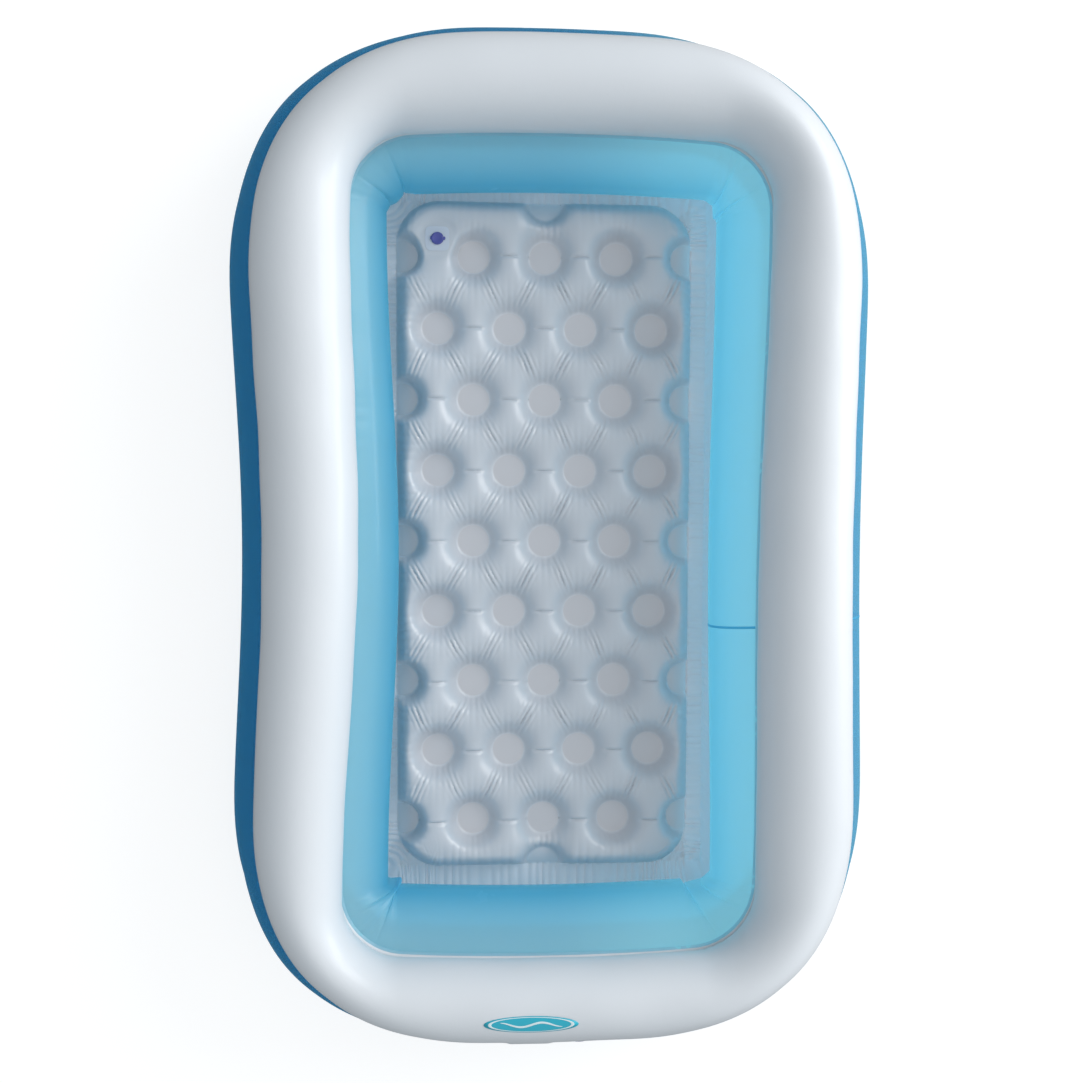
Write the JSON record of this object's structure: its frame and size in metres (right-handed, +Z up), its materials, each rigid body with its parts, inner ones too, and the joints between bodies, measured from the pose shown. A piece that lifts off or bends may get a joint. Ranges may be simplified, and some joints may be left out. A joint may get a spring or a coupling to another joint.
{
  "type": "inflatable paddling pool",
  "caption": "Rectangular inflatable paddling pool with a white upper ring, a clear blue lower ring, a quilted air floor and push-in valves.",
  "frame": {"origin": "on the ground, under the middle of the pool", "axes": "+Z up, +Y along the length towards the end with the floor's valve, +X across"},
  "size_m": [1.0432, 1.6683, 0.28],
  "materials": {
    "white_vinyl": "satin",
    "clear_vinyl": "satin",
    "blue_vinyl": "gloss",
    "frosted_vinyl": "satin",
    "valve_clear": "satin",
    "valve_blue": "satin"
  },
  "bodies": {
    "pool": {"upper_ring_film": "white_vinyl", "chamber_web": "clear_vinyl", "lower_ring_film": "blue_vinyl", "floor_top_film": "frosted_vinyl", "floor_base_film": "frosted_vinyl", "floor_valve_base": "valve_clear", "floor_valve_skirt": "valve_clear", "upper_valve_base": "valve_clear", "upper_valve_skirt": "valve_clear", "lower_valve_base": "valve_clear", "lower_valve_skirt": "valve_clear"},
    "floor_stem": {"floor_valve_stem": "valve_blue"},
    "floor_plug": {"floor_valve_plug": "valve_blue"},
    "floor_flap": {"floor_valve_flap": "valve_clear"},
    "upper_stem": {"upper_valve_stem": "valve_blue"},
    "upper_plug": {"upper_valve_plug": "valve_blue"},
    "upper_flap": {"upper_valve_flap": "valve_clear"},
    "lower_stem": {"lower_valve_stem": "valve_blue"},
    "lower_plug": {"lower_valve_plug": "valve_blue"},
    "lower_flap": {"lower_valve_flap": "valve_clear"}
  },
  "joints": [
    {"name": "floor_stem_push", "type": "slide", "parent": "pool", "child": "floor_stem", "axis": [0, 0, 1], "range_m": [0, 0.012], "deforming": ["floor_valve_skirt"]},
    {"name": "floor_plug_pull", "type": "hinge", "parent": "floor_stem", "child": "floor_plug", "pos_m": [-0.178, 0.508, 0.04485], "axis": [0, 1, 0], "range_deg": [0, 150]},
    {"name": "floor_flap_open", "type": "hinge", "parent": "floor_stem", "child": "floor_flap", "pos_m": [-0.1847, 0.508, 0.02815], "axis": [0, -1, 0], "range_deg": [0, 70], "stiffness_Nm_per_rad": 0.00015},
    {"name": "upper_stem_push", "type": "slide", "parent": "pool", "child": "upper_stem", "axis": [0, -0.9999, 0.0171], "range_m": [0, 0.012], "deforming": ["upper_valve_skirt"]},
    {"name": "upper_plug_pull", "type": "hinge", "parent": "upper_stem", "child": "upper_plug", "pos_m": [-0.0315, -0.7823, 0.21143], "axis": [0, 0.0171, 0.9999], "range_deg": [0, 150]},
    {"name": "upper_flap_open", "type": "hinge", "parent": "upper_stem", "child": "upper_flap", "pos_m": [-0.0382, -0.7656, 0.21115], "axis": [0, -0.0171, -0.9999], "range_deg": [0, 70], "stiffness_Nm_per_rad": 0.00015},
    {"name": "lower_stem_push", "type": "slide", "parent": "pool", "child": "lower_stem", "axis": [0, -0.8695, 0.4939], "range_m": [0, 0.012], "deforming": ["lower_valve_skirt"]},
    {"name": "lower_plug_pull", "type": "hinge", "parent": "lower_stem", "child": "lower_plug", "pos_m": [0.0585, -0.82505, 0.12518], "axis": [0, 0.4939, 0.8695], "range_deg": [0, 150]},
    {"name": "lower_flap_open", "type": "hinge", "parent": "lower_stem", "child": "lower_flap", "pos_m": [0.0518, -0.81053, 0.11693], "axis": [0, -0.4939, -0.8695], "range_deg": [0, 70], "stiffness_Nm_per_rad": 0.00015}
  ]
}
